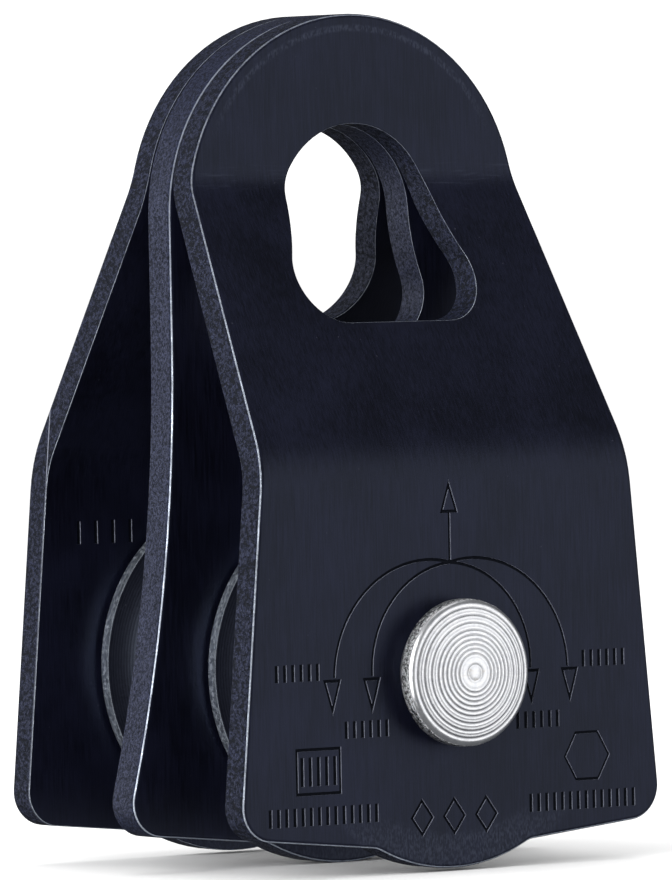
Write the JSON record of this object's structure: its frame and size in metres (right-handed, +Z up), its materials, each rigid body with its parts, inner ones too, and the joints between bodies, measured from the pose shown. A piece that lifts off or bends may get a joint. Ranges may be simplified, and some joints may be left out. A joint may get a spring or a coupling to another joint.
{
  "type": "double rope pulley",
  "caption": "Rope pulley with three swinging metal side plates on one riveted axle, a ball bearing sheave in each gap and a shared eye for a carabiner.",
  "frame": {"origin": "centre of the eye's round top, on the middle plate's mid-plane, where the carabiner bears", "axes": "+Z up from the axle to the eye along the long way of the plates, Y along the axle with the marked front plate on the -Y side, X across the plates"},
  "size_m": [0.0394, 0.0384, 0.0658],
  "materials": {
    "black_plate": "black anodised aluminium, satin, faint vertical lay",
    "sheave_metal": "turned aluminium, dark anodised, with a bright rim",
    "axle_metal": "bright steel, riveted head with turned rings",
    "bearing_steel": "ground bearing steel",
    "ball_steel": "polished steel balls",
    "cage_steel": "pressed steel cage",
    "shield_steel": "pressed steel shield",
    "spacer_metal": "turned steel spacer"
  },
  "bodies": {
    "frame": {"middle_plate": "black_plate", "axle": "axle_metal", "front_inner_race": "bearing_steel", "front_inner_spacer": "spacer_metal", "front_outer_spacer": "spacer_metal", "rear_inner_race": "bearing_steel", "rear_inner_spacer": "spacer_metal", "rear_outer_spacer": "spacer_metal"},
    "front_side": {"front_plate": "black_plate"},
    "rear_side": {"rear_plate": "black_plate"},
    "front_wheel": {"front_sheave": "sheave_metal", "front_outer_race": "bearing_steel", "front_outer_shield": "shield_steel", "front_inner_shield": "shield_steel"},
    "front_ball_set": {"front_ball_cage": "cage_steel", "front_balls": "ball_steel"},
    "rear_wheel": {"rear_sheave": "sheave_metal", "rear_outer_race": "bearing_steel", "rear_outer_shield": "shield_steel", "rear_inner_shield": "shield_steel"},
    "rear_ball_set": {"rear_ball_cage": "cage_steel", "rear_balls": "ball_steel"}
  },
  "joints": [
    {"name": "front_plate_swing", "type": "hinge", "parent": "frame", "child": "front_side", "pos_m": [0, -0.01485, -0.03515], "axis": [0, -1, 0], "continuous": true},
    {"name": "rear_plate_swing", "type": "hinge", "parent": "frame", "child": "rear_side", "pos_m": [0, 0.01485, -0.03515], "axis": [0, -1, 0], "continuous": true},
    {"name": "front_sheave_spin", "type": "hinge", "parent": "frame", "child": "front_wheel", "pos_m": [0, -0.0075, -0.03515], "axis": [0, -1, 0], "continuous": true},
    {"name": "front_ball_cage_spin", "type": "hinge", "parent": "frame", "child": "front_ball_set", "pos_m": [0, -0.0075, -0.03515], "axis": [0, -1, 0], "continuous": true},
    {"name": "rear_sheave_spin", "type": "hinge", "parent": "frame", "child": "rear_wheel", "pos_m": [0, 0.0075, -0.03515], "axis": [0, -1, 0], "continuous": true},
    {"name": "rear_ball_cage_spin", "type": "hinge", "parent": "frame", "child": "rear_ball_set", "pos_m": [0, 0.0075, -0.03515], "axis": [0, -1, 0], "continuous": true}
  ],
  "couplings": [
    {"joint": "front_ball_cage_spin", "follows": "front_sheave_spin", "ratio": 0.5662},
    {"joint": "rear_ball_cage_spin", "follows": "rear_sheave_spin", "ratio": 0.5662}
  ]
}
